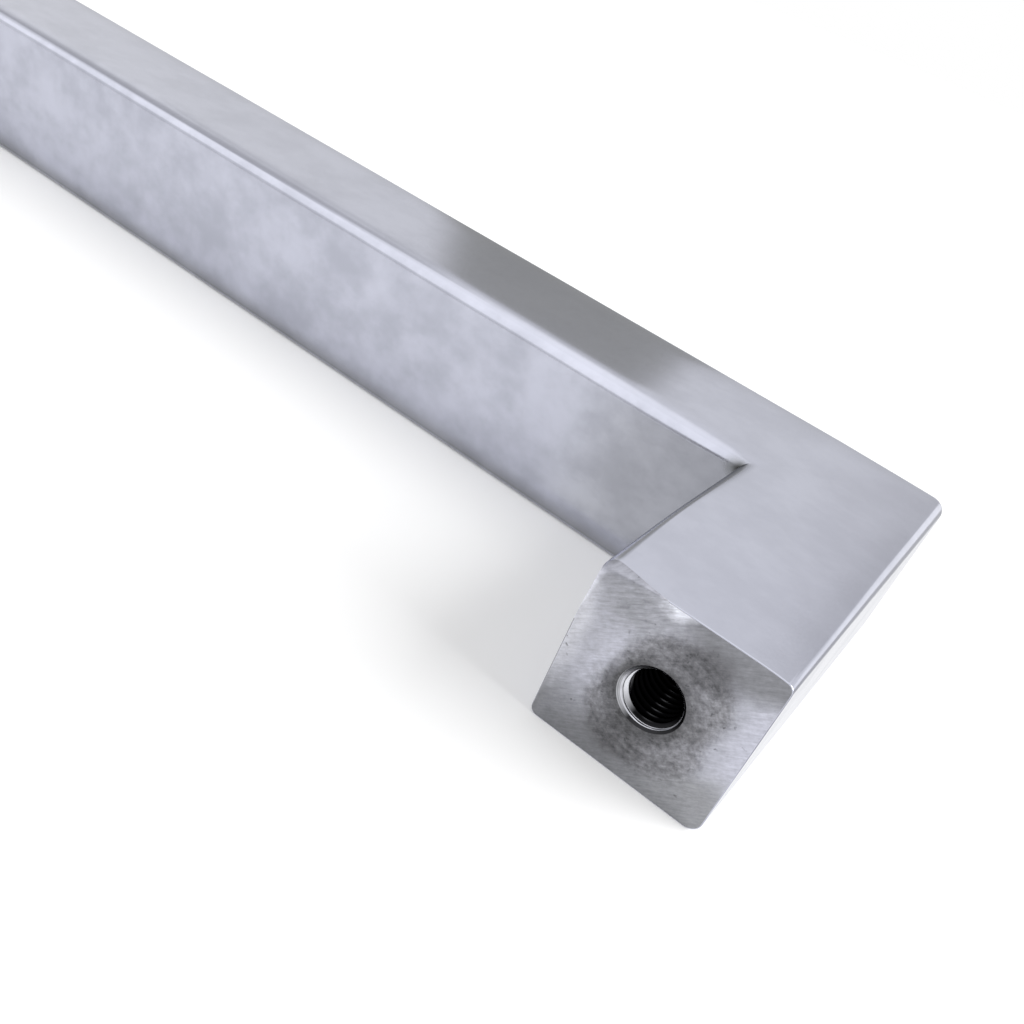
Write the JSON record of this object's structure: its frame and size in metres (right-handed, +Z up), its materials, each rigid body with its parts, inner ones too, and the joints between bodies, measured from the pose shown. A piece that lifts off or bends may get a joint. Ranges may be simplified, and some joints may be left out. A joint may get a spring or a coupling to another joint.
{
  "type": "bridge pull handle",
  "caption": "Square-bar bridge pull handle: a straight grip on two square legs, with a tapped hole in each foot for a screw through the door.",
  "frame": {"origin": "midway between the two screw holes, on the plane that the two feet stand on", "axes": "+X along the grip, +Y away from the door from the feet to the grip, +Z up across the bar, so that it is mounted level and also lies on its side face"},
  "size_m": [0.325, 0.065, 0.025],
  "materials": {
    "polished_stainless_steel": "satin polished stainless steel on the bar, ground and soiled on the two feet"
  },
  "bodies": {
    "root": {"pull_handle": "polished_stainless_steel"}
  },
  "joints": []
}
